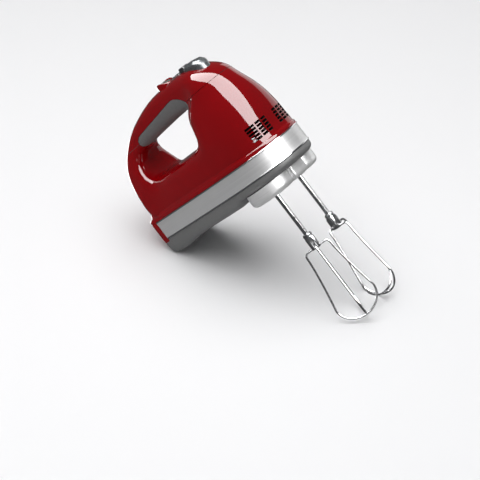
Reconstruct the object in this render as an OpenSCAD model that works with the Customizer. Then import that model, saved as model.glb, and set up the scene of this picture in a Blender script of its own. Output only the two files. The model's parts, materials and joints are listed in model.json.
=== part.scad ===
// Hand mixer with a closed handle, a soft grip, a wrap-round trim band and two wire beaters.
// It stands nose-up: it rests on a flat at the back of the heel and on the beater tips.
// Everything is drawn upright first (x from the heel to the nose, y to the mixer's left,
// z up from the flat underside) and turned as a whole by pose().

/* [Body] */
// Length of the body, heel to the front of the trim band
body_length = 210; // [175:1:252]
// Greatest width of the body, across the trim band
body_width = 90; // [88:1:108]
// Height of the top of the handle above the underside
handle_top = 137; // [130:1:164]
// Width of the body at the heel
heel_width = 65; // [58:1:72]
// Thickness of the plastic walls
wall = 2.6; // [2:0.1:3.2]

/* [Trim band and base] */
// Height of the lower edge of the trim band
band_z0 = 14; // [12:0.5:16]
// Height of the upper edge of the trim band
band_z1 = 34.5; // [30:0.5:38]
// Thickness of the metal strip
band_t = 1.3; // [0.8:0.1:1.6]
// Depth of the lip that joins the red housing to the band
lip = 4.5; // [3:0.5:5]
// Step in the underside that takes the socket plate
plate_step = 5.5; // [4:0.5:7]
// Depth of the socket plate below the underside
plate_drop = 8.5; // [7:0.5:10]

/* [Beaters] */
// Distance between the two beaters
beater_gap = 39.5; // [36:0.5:44]
// Distance of the beaters behind the front of the band
beater_back = 41; // [39:0.5:44]
// Reach of a beater below the underside
beater_reach = 153.5; // [130:0.5:184]
// Diameter of the beater shafts
shaft_d = 5; // [4.5:0.1:6]
// Diameter of the beater wire
wire_d = 2; // [1.6:0.1:2.4]
// Length of the crimped ferrule
ferrule_h = 17; // [14:0.5:20]

/* [Handle controls] */
// Travel of the ejector button
eject_travel = 7; // [5:0.5:8]
// Width of the ejector button
eject_w = 18; // [16:0.5:20]
// Width of the raised display
display_w = 18; // [16:0.5:21]
// Travel of the power and speed buttons
press_travel = 1; // [0.6:0.1:1.2]

/* [Motor] */
// Diameter of the motor shaft
motor_shaft_d = 5; // [4:0.5:6]
// Diameter of the rotor core
rotor_d = 30; // [26:1:34]
// Diameter of the cooling fan
fan_d = 46; // [40:1:48]
// Number of teeth on each worm wheel
wheel_teeth = 30; // [30]
// Pitch radius of the worm
worm_r = 5; // [5]
// Radial clearance of a turning fit
run = 0.05; // [0.02:0.01:0.08]

/* [Quality] */
// Steps between the drawn sections of the housing
ring_steps = 2; // [1:1:3]
// Points round each section of the housing, in fours
ring_points = 32; // [24:4:48]

/* [Hidden] */
$fn = 48;

red = [0.72, 0.04, 0.06];
steel = [0.72, 0.73, 0.74];
charcoal = [0.25, 0.26, 0.27];
grey = [0.42, 0.43, 0.44];
copper = [0.75, 0.4, 0.2];
brass = [0.78, 0.66, 0.36];
green = [0.1, 0.35, 0.18];
cream = [0.85, 0.83, 0.76];

gap = 0.15;                        // fit between fixed pieces
kx = body_length / 210;            // the housing sections are drawn for 210 x 90 x 137
ky = body_width / 90;
kz = handle_top / 137;
small = min(1, kz, ky, kx);        // the motor shrinks with a small body, and never grows

heel_x = 16 * kx;                  // where the heel's round end meets the straight sides
wide_x = 156 * kx;                 // widest station
half_w = body_width / 2;
rear_w = heel_width / 2;
beater_x = body_length - beater_back;
side_y = beater_gap / 2;
motor_z = 36 * kz;                 // height of the motor shaft
floor_z = 67 * kz;                 // floor of the finger opening
core_back = 82 * kx;               // stator stack
core_len = 24 * small;
loop_r = 22;                       // greatest radius of a wire loop's centre line
loop_drop = 19.5;                  // height of the loop's round end
neck_z = -beater_reach + 80.5;     // underside of the ferrule
plate_z = -plate_drop;

/* Outline of the body seen from above, inset by d */
function width_at(x) = let (t = min(1, max(0, (x - heel_x) / (wide_x - heel_x))))
  rear_w + (half_w - rear_w) * sin(90 * t);
function half_outline(d) = concat(
  [for (i = [0:5]) let (t = 15 * i)
    [heel_x - (heel_x - d) * pow(cos(t), 0.588), -(rear_w - d) * pow(sin(t), 0.588)]],
  [for (i = [0:9]) let (x = heel_x + (wide_x - heel_x) * i / 9) [x, d - width_at(x)]],
  [for (i = [1:14]) let (t = 90 * i / 14)
    [wide_x + (body_length - wide_x - d) * pow(sin(t), 0.877),
     -(half_w - d) * pow(max(0, cos(t)), 0.877)]]);
function outline(d) = let (h = half_outline(d))
  concat(h, [for (i = [len(h) - 2:-1:1]) [h[i].x, -h[i].y]]);

/* Solid through a stack of [z, inset] outlines */
module stack(levels) {
  rings = [for (l = levels) [for (p = outline(l[1])) [p.x, p.y, l[0]]]];
  skin(rings);
}

/* Closed solid through rings with equal numbers of points, lowest ring first */
module skin(rings) {
  m = len(rings[0]);
  n = len(rings);
  polyhedron(
    points = [for (r = rings, p = r) p],
    faces = concat(
      [[for (j = [0:m - 1]) j]],
      [[for (j = [m - 1:-1:0]) (n - 1) * m + j]],
      [for (i = [0:n - 2], j = [0:m - 1]) let (k = (j + 1) % m)
        each [[i * m + j, (i + 1) * m + j, (i + 1) * m + k], [i * m + j, (i + 1) * m + k, i * m + k]]]));
}

/* Side-view shape [x, z] pushed through the body's width */
module side(points, w = 140) {
  rotate([90, 0, 0]) linear_extrude(height = w, center = true) polygon(points);
}

/* Sections round the finger opening, drawn in side view from the inner edge to the outer edge:
   inner x, z, outer x, z, half width, place of the widest line, roundness inside and outside */
sections = [
  [136.3, 84, 205.8, 70, 39.2, .33, 2.6, 2.45],     // nose, middle
  [135.5, 94, 203, 88, 36.3, .34, 2.6, 2.3],
  [134, 100.5, 197, 105, 31.8, .38, 2.6, 2.15],
  [131, 104.5, 187, 121, 26.5, .46, 2.6, 2.2],    // nose, upper
  [124, 105.8, 169, 133, 22, .52, 2.6, 2.4],
  [114, 105.3, 146, 137, 18.2, .52, 2.6, 2.7],    // under the ejector
  [99, 104.6, 120, 137, 16.8, .5, 2.6, 2.8],
  [83, 103.5, 92, 135.3, 16.6, .5, 2.6, 2.7],     // handle
  [66, 102.4, 65, 129.4, 16.8, .5, 2.6, 2.6],
  [51, 101, 41.5, 120.8, 17.4, .5, 2.6, 2.6],
  [41, 98, 24, 108.8, 19.4, .5, 3, 2.6],          // back of the handle
  [36.5, 91, 12.5, 95, 23.4, .5, 3.6, 2.6],
  [36.5, 83, 7, 79, 27, .5, 4.4, 2.7],
  [38.5, 76, 4.7, 60, 29, .5, 5, 2.9],            // post above the heel
  [43, 71, 4.5, 38, 29.6, .5, 5, 3.2],
  [53, 69, 20, 2, 31.5, .5, 5, 4],
  [70, 69, 55, 0, 34.6, .5, 5, 4],                // under the floor of the opening
  [88, 69, 88, 0, 37.2, .5, 5, 4],
  [106, 69.2, 125, 0, 39.3, .5, 5, 4],
  [121, 70.5, 165, 2, 40.7, .5, 4.4, 4],
  [131, 73.5, 204.5, 22, 41, .36, 3.6, 2.6],
  [135, 78.5, 206, 48, 41, .34, 2.8, 2.6]];     // nose, lower
row_n = len(sections);
scale_row = [kx, kz, kx, kz, ky, 1, 1, 1];
function row(i) = let (r = sections[(i + row_n) % row_n]) [for (c = [0:7]) r[c] * scale_row[c]];
function between(a, b, c, d, t) = 0.5 * (2 * b + (c - a) * t + (2 * a - 5 * b + 4 * c - d) * t * t
  + (3 * b - a - 3 * c + d) * t * t * t);
function station(i, n) = let (k = floor(i / n), t = i / n - k)
  between(row(k - 1), row(k), row(k + 1), row(k + 2), t);
function section_ring(s, d, m) = let (
    l = norm([s[2] - s[0], s[3] - s[1]]), ex = (s[2] - s[0]) / l, ez = (s[3] - s[1]) / l,
    mid = s[5] * l)
  [for (j = [0:m - 1]) let (a = 360 * j / m, c = cos(a), e = c > 0 ? 2 / s[6] : 2 / s[7],
      u = c > 0 ? mid - (mid - d) * pow(c, e) : mid + (l - mid - d) * pow(-c, e),
      y = (s[4] - d) * sign(sin(a)) * pow(abs(sin(a)), e))
    [s[0] + ex * u, y, s[1] + ez * u]];

/* Turning the mixer nose-up */
// Lowest corner of the heel, and how much of it the resting flat takes off
heel_pt = [5, -1.5];
heel_flat = 0.9;
loop_mid = -beater_reach + loop_drop + wire_d / 2;
function rest_gap(t) = beater_x * sin(t) + loop_mid * cos(t)
  - sqrt(pow(loop_r * sin(t), 2) + pow(loop_drop * cos(t), 2)) - wire_d / 2
  - heel_pt.x * sin(t) - heel_pt.y * cos(t) - heel_flat;
function solve_tilt(a, b, n) = n == 0 ? (a + b) / 2
  : rest_gap((a + b) / 2) < 0 ? solve_tilt((a + b) / 2, b, n - 1) : solve_tilt(a, (a + b) / 2, n - 1);
tilt = solve_tilt(15, 75, 40);
rest_z = heel_pt.x * sin(tilt) + heel_pt.y * cos(tilt) + heel_flat;

// Middle of the turned mixer, between the back of the handle and the front of a beater
back_x = min([for (r = sections) r[2] * kx * cos(tilt) - r[3] * kz * sin(tilt)]);
front_x = beater_x * cos(tilt) - loop_mid * sin(tilt) + wire_d / 2
  + sqrt(pow(loop_r * cos(tilt), 2) + pow(loop_drop * sin(tilt), 2));
centre_x = (back_x + front_x) / 2;

module pose() {
  translate([-centre_x, 0, -rest_z]) rotate([0, -tilt, 0]) children();
}

/* The whole handle-and-body loop, closed on itself, inset by d */
module loop_body(d, steps, m) {
  n = row_n * steps;
  polyhedron(
    points = [for (i = [0:n - 1]) each section_ring(station(i, steps), d, m)],
    faces = [for (i = [0:n - 1], j = [0:m - 1]) let (p = (i + 1) % n, k = (j + 1) % m)
      each [[i * m + j, i * m + k, p * m + k], [i * m + j, p * m + k, p * m + j]]]);
}
module loop_outer() { loop_body(0, ring_steps, ring_points); }
module loop_inner() { loop_body(wall, 1, 20); }

/* Side-view shapes */
function k2(points) = [for (p = points) [p.x * kx, p.y * kz]];
function seam_z(x) = (105 + 0.0476 * x / kx) * kz;
function above_seam(d) = [[-20, seam_z(-20) + d], [240 * kx, seam_z(240 * kx) + d],
  [240 * kx, 190 * kz], [-20, 190 * kz]];
function below_seam(d) = [[-20, seam_z(-20) - d], [-20, 36], [240 * kx, 36], [240 * kx, seam_z(240 * kx) - d]];
grip_side = k2([[51, 94], [51, 106], [53.5, 110.6], [58, 113.3], [63, 114.2], [122, 122], [131, 121.6],
  [140, 118.2], [147.5, 113], [145.5, 104], [137, 99], [80, 94]]);

/* Ejector, buttons and display along the top of the handle */
eject_side = k2([[157, 129], [157.2, 138.6], [158.8, 140], [163, 140.2], [169, 139.3], [175, 137.8],
  [178, 136.2], [180.4, 132], [181.2, 126], [181.4, 116], [157, 116]]);
eject_x0 = 157 * kx;
eject_x1 = 181 * kx;
power_x = 152.2 * kx;
strip_x0 = 133.5 * kx;
strip_x1 = 146.8 * kx;
speed_x = [137.1 * kx, 143.3 * kx];
display_x = 118.5 * kx;
display_half = 10.5 * kx;
top_z = 137 * kz;
rod_x = beater_x;
button_floor = 128 * kz;

/* Rounded block standing on z0, with plan corners of radius r */
module block(x0, x1, w, z0, z1, r = 2) {
  translate([0, 0, z0]) linear_extrude(height = z1 - z0) hull()
    for (x = [x0 + r, x1 - r], y = [-w / 2 + r, w / 2 - r]) translate([x, y]) circle(r, $fn = 32);
}
module upright(x, y, z0, z1, r) { translate([x, y, z0]) cylinder(h = z1 - z0, r = r); }
module along_x(x0, x1, y, z, r) {
  translate([x0, y, z]) rotate([0, 90, 0]) cylinder(h = x1 - x0, r = r);
}
module ring_up(x, y, z0, z1, r0, r1) {
  difference() {
    upright(x, y, z0, z1, r1);
    upright(x, y, z0 - 1, z1 + 1, r0);
  }
}
module ring_x(x0, x1, y, z, r0, r1) {
  difference() {
    along_x(x0, x1, y, z, r1);
    along_x(x0 - 1, x1 + 1, y, z, r0);
  }
}
/* Coil spring standing on z = 0 */
module coil(r, h, turns, t, steps = 10) {
  n = turns * steps;
  path = [for (i = [0:n]) [r * cos(360 * i / steps), r * sin(360 * i / steps), t / 2 + (h - t) * i / n]];
  tube(path, t / 2, 5);
}
/* Tube of radius r along a path, with m sides */
function unit(v) = v / norm(v);
function along(path, i) = unit(path[min(len(path) - 1, i + 1)] - path[max(0, i - 1)]);
function turned(path, i, v) = let (t = along(path, i), w = unit(v - (v * t) * t))
  i == len(path) - 1 ? [w] : concat([w], turned(path, i + 1, w));
module tube(path, r, m) {
  side0 = turned(path, 0, abs(along(path, 0).z) < 0.9 ? [0, 0, 1] : [1, 0, 0]);
  skin([for (i = [0:len(path) - 1]) let (t = along(path, i), u = side0[i], v = cross(t, u))
    [for (j = [0:m - 1]) path[i] + r * (cos(360 * j / m) * u + sin(360 * j / m) * v)]]);
}

/* Screw positions in the underside */
screws_at = concat(
  [for (s = [-1, 1]) [26 * kx, s * (width_at(26 * kx) - 12)]],
  [for (s = [-1, 1]) [112 * kx, s * (width_at(112 * kx) - 10.5)]],
  [for (s = [-1, 1]) [body_length - 11.5, s * 20 * ky]]);
function screw_floor(x) = x > beater_x ? plate_step : 0;

/* Fixed shells */
module vent_slots() {
  for (s = [-1, 1], c = [[5.9, 11.9], [13.2, 19.4], [20.8, 29.5]], i = [0:4])
    translate([body_length - 32, s > 0 ? c[0] * ky : -c[1] * ky, 43.2 * kz + 3.25 * i])
      cube([40, (c[1] - c[0]) * ky, 2.4]);
}

module motor_housing() {
  color(red) pose() difference() {
    union() {
      intersection() {
        loop_outer();
        side(below_seam(gap / 2));
      }
      stack([[band_z1 + 0.15, 0.3], [band_z1 + 1.3, 0.9], [band_z1 + 3.5, lip - 2], [band_z1 + 6, lip - 0.2],
        [band_z1 + 8, lip + 1.6]]);
      intersection() {
        stack([[11, 0], [band_z1 + 0.5, 0]]);
        translate([-10, -60, 0]) cube([heel_x - gap + 10, 120, 60]);
      }
      stack([[band_z0 + 0.1, band_t + 0.3], [band_z1 + 0.5, band_t + 0.3]]);
    }
    difference() {
      loop_inner();
      translate([-10, -70, -10]) cube([240 * kx, 140, 53]);
    }
    difference() {
      stack([[5, lip + 2.9], [44, lip + 2.9]]);
      for (p = screws_at) upright(p.x, p.y, 0, 32, 4.2);
    }
    for (p = screws_at) upright(p.x, p.y, 0, 28, 1.3);
    side(grip_side);
    vent_slots();
    eject_well(eject_travel + 2);
    along_x(-10, 20, 0, 24, 6.2);
  }
}

module handle_cover() {
  color(red) pose() difference() {
    intersection() {
      loop_outer();
      side(above_seam(gap / 2));
    }
    loop_inner();
    side(grip_side);
    eject_well(eject_travel + 2);
    block(power_x - 4.5, power_x + 4.5, 10.8, 110, 160, 2.6);
    block(strip_x0 - gap, strip_x1 + gap, 11.3, top_z - 1.6, 160, 2);
    for (x = speed_x) block(x - 2.6, x + 2.6, 8.6, 110, 160, 1);
    oval(110 * kz, 160 * kz, 0);
  }
}

/* Plan of the ejector button, grown by d: square at the back and round at the front */
module eject_plan(d, z0, z1) {
  translate([0, 0, z0]) linear_extrude(height = z1 - z0) hull() {
    for (s = [-1, 1]) translate([eject_x0 + 3, s * (eject_w / 2 - 4)]) circle(3 + d, $fn = 32);
    translate([eject_x1 - eject_w / 2, 0]) circle(eject_w / 2 + d, $fn = 32);
  }
}
/* Well in the top that the ejector button moves in */
module eject_well(depth) {
  eject_plan(0.4, 116 * kz - depth, 170 * kz);
}

module trim_band() {
  color(steel) pose() difference() {
    stack([[band_z0 + 0.1, -0.2], [band_z0 + 0.4, -0.5], [band_z0 + 1.4, -0.5], [band_z0 + 1.7, 0],
      [band_z1 - 1.7, 0], [band_z1 - 1.4, -0.5], [band_z1 - 0.4, -0.5], [band_z1 - 0.1, -0.2]]);
    stack([[band_z0 - 5, band_t], [band_z1 + 5, band_t]]);
    translate([-20, -60, -5]) cube([heel_x + 20, 120, 60]);
  }
}

module base_cover() {
  color(charcoal) pose() difference() {
    intersection() {
      stack([[-4.2, 10], [-1.5, 5], [3, 1.8], [8, 0.4], [band_z0 - 0.2, 0.4]]);
      side([[-5, 11 - 0.3], [-5, -1], [3, -4.2], [26, -4.2], [62 * kx, 0], [beater_x - 24.8, 0],
        [beater_x - 24.8, plate_step], [220 * kx, plate_step], [220 * kx, band_z0 - 0.1],
        [heel_x + gap, band_z0 - 0.1], [heel_x + gap, 11 - 0.3]]);
    }
    // hollow, with a deeper floor over the socket plate and a post round each screw
    difference() {
      stack([[2.6, 8], [20, 8]]);
      translate([beater_x - 30, -60, 0]) cube([100, 120, plate_step + 2.6]);
      for (p = screws_at) upright(p.x, p.y, 0, 20, 4.6);
    }
    for (p = screws_at) {
      upright(p.x, p.y, -5, 20, 1.8);
      upright(p.x, p.y, -5, screw_floor(p.x) + 4, 3.4);
    }
    for (s = [-1, 1]) upright(beater_x, s * side_y, 0, 20, 7.4);
    // resting flat, level when the mixer is nose-up
    rotate([0, tilt, 0]) translate([-60, -60, rest_z - 30]) cube([160, 120, 30]);
  }
}

module plate_plan(d) {
  for (s = [-1, 1]) translate([beater_x, s * side_y]) circle(24.5 - d, $fn = 96);
  hull() for (x = [beater_x - 8, beater_x + 24 - d], s = [-1, 1])
    translate([x, s * (8 - d)]) circle(3, $fn = 32);
}

module socket_plate() {
  color(steel) pose() difference() {
    union() {
      translate([0, 0, plate_z + 2.2]) linear_extrude(height = plate_step - 0.1 - plate_z - 2.2) plate_plan(0);
      translate([0, 0, plate_z + 0.9]) linear_extrude(height = 2) plate_plan(0.7);
      translate([0, 0, plate_z]) linear_extrude(height = 2) plate_plan(2.2);
    }
    for (s = [-1, 1]) upright(beater_x, s * side_y, plate_z - 1, 20, 7.4);
  }
}

module handle_grip() {
  color(charcoal) pose() difference() {
    intersection() {
      loop_outer();
      side([for (p = grip_side) p + [p.x < 90 * kx ? 0.15 : -0.2, p.y > 105 * kz ? -0.2 : 0.2]]);
    }
    loop_body(wall + 0.6, 1, 20);
  }
}

module display_slope(d) {
  side([[display_x - 13 * kx, 125 * kz], [display_x - 13 * kx, top_z + 2.6 - d], [display_x - 8 * kx, top_z + 4.4 - d],
    [display_x - 2 * kx, top_z + 5 - d], [display_x + 4 * kx, top_z + 3.6 - d], [display_x + 13 * kx, top_z - 0.5 - d],
    [display_x + 13 * kx, 125 * kz]]);
}
module oval(z0, z1, d) {
  translate([display_x, 0, z0]) scale([display_half - d, display_w / 2 - d, 1]) cylinder(h = z1 - z0, r = 1);
}
module display_bezel() {
  color(red) pose() intersection() {
    difference() {
      oval(top_z - 5.6, top_z + 6, 0.2);
      oval(top_z - 7, top_z + 8, 3);
    }
    display_slope(0);
  }
}
module display_lens() {
  color([0.62, 0.68, 0.62]) pose() intersection() {
    oval(top_z - 2, top_z + 6, 3.15);
    display_slope(0.7);
  }
}
module display_module() {
  color(green) pose() let (h = 0.7 * (display_half - 3))
    block(display_x - h, display_x + h, 1.32 * (display_w / 2 - 3), top_z - 5, top_z - 2.2, 1);
}
module control_strip() {
  color(grey) pose() difference() {
    block(strip_x0, strip_x1, 11, top_z - 1.5, top_z + 1, 2);
    for (x = speed_x) block(x - 2.4, x + 2.4, 8.2, top_z - 3, top_z + 4, 1);
  }
}
module speed_button(x) {
  block(x - 2.2, x + 2.2, 7.8, top_z - 3, top_z + 1.8, 0.8);
}
module speed_up_button() { color(charcoal) pose() speed_button(speed_x[1]); }
module speed_down_button() { color(charcoal) pose() speed_button(speed_x[0]); }
module speed_spring(x) { translate([x, 0, button_floor + 0.4]) coil(1.5, top_z - 3.45 - button_floor, 4, 0.5); }
module speed_up_spring() { color(steel) pose() speed_spring(speed_x[1]); }
module speed_down_spring() { color(steel) pose() speed_spring(speed_x[0]); }
module power_button() {
  color(charcoal) pose() {
    block(power_x - 4.2, power_x + 4.2, 10.2, top_z - 4.5, top_z + 3.4, 2.4);
    block(power_x - 3.4, power_x + 3.4, 8.6, top_z + 3.3, top_z + 4.5, 1.8);
  }
}
module power_spring() {
  color(steel) pose() translate([power_x, 0, button_floor + 0.4]) coil(2.4, top_z - 4.95 - button_floor, 3, 0.6);
}

/* Electronics */
module control_board() {
  color(green) pose() block(display_x - 6, power_x + 4, 17, button_floor - 1.6, button_floor, 1);
}
module board_components() {
  color(charcoal) pose() {
    for (p = [[118, -4, 5, 6], [124, 4, 6, 5], [136, -5, 4, 4]])
      translate([p[0] * kx, p[1] - 2, button_floor - 1.7 - p[2]]) cube([p[3], 4, p[2]]);
    translate([112 * kx, -6, button_floor + 0.1]) cube([8, 4, 2]);
  }
}
module power_switch() {
  color(grey) pose() block(power_x - 5, power_x + 3.6, 7, button_floor - 8.4, button_floor - 1.8, 0.8);
}

module cord_gland() {
  color(charcoal) pose() difference() {
    union() {
      along_x(-2.4, -0.05, 0, 24, 8);
      along_x(-0.1, 13, 0, 24, 6.05);
    }
    along_x(-5, 20, 0, 24, 3.5);
  }
}
module cord_clamp() {
  color(cream) pose() difference() {
    translate([15, -9, 17]) cube([7, 18, 14]);
    along_x(10, 30, 0, 24, 3.6);
  }
}
module vent_baffle() {
  color([0.05, 0.05, 0.05]) pose() translate([body_length - 15, -19 * ky, 43])
    cube([1.2, 38 * ky, floor_z - 43]);
}

/* Motor */
stator_h = 46 * small;
stator_w = 50 * small;
module stator_core() {
  color(steel) pose() translate([core_back, 0, motor_z]) rotate([90, 0, 90]) linear_extrude(height = core_len)
    difference() {
      intersection() {
        square([stator_w, stator_h], center = true);
        circle(stator_w * 0.58, $fn = 96);
      }
      circle(rotor_d / 2 * small + 0.6, $fn = 96);
      for (s = [-1, 1]) translate([0, s * stator_h * 0.36]) square([16 * small, 5 * small], center = true);
    }
}
module field_coils() {
  color(copper) pose() for (s = [-1, 1], x = [core_back - 9 * small, core_back + core_len + 0.1])
    translate([x, s * stator_w * 0.39, motor_z]) rotate([0, 90, 0]) linear_extrude(height = 8.9 * small)
      hull() for (v = [-1, 1]) translate([v * 9 * small, 0]) circle(4 * small, $fn = 32);
}
module bracket(x, r) {
  foot = 2.75 + (x + 3.6 > beater_x - 30 ? plate_step : 0);
  difference() {
    translate([x, -19 * small, foot]) cube([3.6, 38 * small, motor_z + 14 * small - foot]);
    along_x(x - 1, x + 6, 0, motor_z, r);
  }
}
bearing_x = [50 * kx, 137 * kx, beater_x + 13.5];
module motor_bracket_rear() { color(grey) pose() bracket(bearing_x[0], 8.1); }
module motor_bracket_front() { color(grey) pose() bracket(bearing_x[1], 8.1); }
module motor_bearings() {
  color(steel) pose() {
    for (x = [bearing_x[0] - 0.4, bearing_x[1] - 0.4]) ring_x(x, x + 4.4, 0, motor_z, motor_shaft_d / 2 + run, 8);
    ring_x(bearing_x[2], bearing_x[2] + 3.4, 0, motor_z, motor_shaft_d / 2 + run, 4.6);
  }
}
commutator_x = 63 * kx;
module brush_holders() {
  color(brass) pose() for (s = [-1, 1]) difference() {
    translate([commutator_x, s > 0 ? 10.4 : -22.4, motor_z - 4]) cube([8, 12, 8]);
    translate([commutator_x + 1.4, s > 0 ? 9 : -21.4, motor_z - 2.6]) cube([5.2, 12.4, 5.2]);
  }
}
module carbon_brushes() {
  color([0.1, 0.1, 0.1]) pose() for (s = [-1, 1])
    translate([commutator_x + 1.6, s > 0 ? 9.8 : -15.8, motor_z - 2.4]) cube([4.8, 6, 4.8]);
}
module brush_springs() {
  color(steel) pose() for (s = [-1, 1]) translate([commutator_x + 4, s * 15.9, motor_z]) rotate([-s * 90, 0, 0])
    coil(1.8, 5.3, 4, 0.5, 8);
}
module motor_shaft() {
  color(steel) pose() along_x(bearing_x[0] - 3, bearing_x[2] + 3.2, 0, motor_z, motor_shaft_d / 2);
}
rotor_r = rotor_d / 2 * small;
module armature_core() {
  color(grey) pose() translate([core_back, 0, motor_z]) rotate([90, 0, 90]) linear_extrude(height = core_len)
    difference() {
      circle(rotor_r, $fn = 96);
      circle(motor_shaft_d / 2 + run, $fn = 48);
      for (i = [0:11]) rotate(30 * i) translate([rotor_r - 3.5 * small, -0.9]) square([6, 1.8]);
    }
}
module armature_windings() {
  color(copper) pose() for (x = [core_back - 8 * small, core_back + core_len + 0.1])
    translate([x, 0, motor_z]) rotate([0, 90, 0]) difference() {
      union() {
        cylinder(h = 7.9 * small, r = rotor_r * 0.62);
        translate([0, 0, 1.4]) cylinder(h = 7.9 * small - 2.8, r = rotor_r * 0.84);
      }
      translate([0, 0, -1]) cylinder(h = 20, r = motor_shaft_d / 2 + run);
    }
}
module commutator() {
  color(brass) pose() translate([commutator_x - 1, 0, motor_z]) rotate([90, 0, 90]) linear_extrude(height = 10)
    difference() {
      circle(9.5, $fn = 96);
      circle(motor_shaft_d / 2 + run, $fn = 48);
      for (i = [0:11]) rotate(30 * i + 15) translate([8.3, -0.25]) square([3, 0.5]);
    }
}
fan_x = 119 * kx;
module cooling_fan() {
  color(cream) pose() translate([fan_x, 0, motor_z]) rotate([0, 90, 0]) difference() {
    union() {
      cylinder(h = 9, r = 7);
      cylinder(h = 1.6, r = fan_d / 2 * small);
      for (i = [0:8]) rotate(40 * i) translate([6, -0.8, 0]) cube([fan_d / 2 * small - 7, 1.6, 8]);
    }
    translate([0, 0, -1]) cylinder(h = 12, r = motor_shaft_d / 2 + run);
  }
}

/* Worm and wheels: the worm's thread moves one wheel tooth for each turn */
wheel_r = side_y - worm_r;
pitch = 2 * PI * wheel_r / wheel_teeth;
worm_half = 12.6;
module worm() {
  turns = 2 * worm_half / pitch - 1;
  n = floor(turns) * 14;
  x0 = beater_x - pitch / 2;
  a0 = -floor(turns) * 180;
  color(steel) pose() translate([0, 0, motor_z]) difference() {
    union() {
      along_x(beater_x - worm_half, beater_x + worm_half, 0, 0, worm_r - 1.1);
      skin([for (i = [0:n]) let (a = a0 + 360 * i / 14, x = x0 + pitch * a / 360)
        [for (q = [[worm_r - 1.4, -0.62], [worm_r - 1.4, 0.62], [worm_r + 0.95, 0.34], [worm_r + 0.95, -0.34]])
          [x + q[1], q[0] * cos(a), q[0] * sin(a)]]]);
    }
    along_x(beater_x - 20, beater_x + 20, 0, 0, motor_shaft_d / 2 + run);
  }
}
module worm_wheel(s) {
  root = wheel_r - 1.1;
  tip = wheel_r + 0.9;
  step = 360 / wheel_teeth;
  w_root = 0.62 / root * 57.3;
  w_tip = 0.32 / tip * 57.3;
  start = s < 0 ? 90 + step / 2 : 270;
  translate([beater_x, s * side_y, motor_z]) difference() {
    union() {
      translate([0, 0, -4]) linear_extrude(height = 8) polygon([for (i = [0:wheel_teeth - 1])
        let (a = start + i * step) each [
          root * [cos(a - w_root), sin(a - w_root)], tip * [cos(a - w_tip), sin(a - w_tip)],
          tip * [cos(a + w_tip), sin(a + w_tip)], root * [cos(a + w_root), sin(a + w_root)]]]);
      translate([0, 0, -6]) cylinder(h = 12, r = 8);
    }
    translate([0, 0, -10]) cylinder(h = 20, r = 5 + run);
  }
}
module worm_wheel_right() { color(cream) pose() worm_wheel(-1); }
module worm_wheel_left() { color(cream) pose() worm_wheel(1); }

/* Gearbox */
low_z = motor_z - 14;              // underside of the lower bearing plate
top_plate_z = motor_z + 7.4;
posts_at = [[beater_x - 21.5, -13], [beater_x - 21.5, 13], [beater_x + 20.6, -10], [beater_x + 20.6, 10]];
module gear_plate(z, t) {
  difference() {
    block(beater_x - 26, beater_x + 25, 54, z, z + t, 8);
    for (s = [-1, 1]) upright(beater_x, s * side_y, z - 1, z + t + 1, 7.05);
  }
}
module gearbox_frame() {
  color(grey) pose() difference() {
    union() {
      gear_plate(low_z, 5);
      for (p = posts_at) upright(p.x, p.y, low_z + 1, top_plate_z - 0.1, 3);
      translate([bearing_x[2] - 0.6, -6.5, low_z + 1]) cube([4.6, 13, 14 + 5.6]);
    }
    for (p = posts_at) upright(p.x, p.y, motor_z - 4, top_plate_z + 5, 1.2);
    along_x(bearing_x[2] - 3, bearing_x[2] + 6, 0, motor_z, 4.65);
  }
}
module gearbox_top() {
  color(grey) pose() difference() {
    gear_plate(top_plate_z, 4.4);
    for (p = posts_at) upright(p.x, p.y, top_plate_z - 1, top_plate_z + 6, 1.5);
  }
}
module gearbox_screws() {
  color(steel) pose() for (p = posts_at) {
    upright(p.x, p.y, motor_z - 2, top_plate_z + 4.6, 1.15);
    upright(p.x, p.y, top_plate_z + 4.5, top_plate_z + 6.5, 2.6);
  }
}
module spindle_bushes() {
  color(brass) pose() for (s = [-1, 1]) {
    ring_up(beater_x, s * side_y, low_z - 0.4, low_z + 5.6, 5 + run, 7);
    ring_up(beater_x, s * side_y, top_plate_z - 0.4, top_plate_z + 4.8, 5 + run, 7);
  }
}
module spindle(s) { ring_up(beater_x, s * side_y, plate_z + 0.8, top_plate_z + 5.4, shaft_d / 2 + run, 5); }
module spindle_right() { color(steel) pose() spindle(-1); }
module spindle_left() { color(steel) pose() spindle(1); }
module clip(s) { ring_up(beater_x, s * side_y, low_z - 1.8, low_z - 0.6, 5 + run, 6.6); }
module retaining_ring_right() { color(steel) pose() clip(-1); }
module retaining_ring_left() { color(steel) pose() clip(1); }
module socket_seals() {
  color([0.1, 0.1, 0.1]) pose() for (s = [-1, 1]) ring_up(beater_x, s * side_y, plate_z + 0.6, plate_z + 5, 5.08, 7.3);
}

module housing_screws() {
  color(steel) pose() for (p = screws_at) let (z = screw_floor(p.x) + 3.98) {
    upright(p.x, p.y, z - 2.2, z, 3.2);
    upright(p.x, p.y, z - 0.1, 25, 1.25);
  }
}

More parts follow.
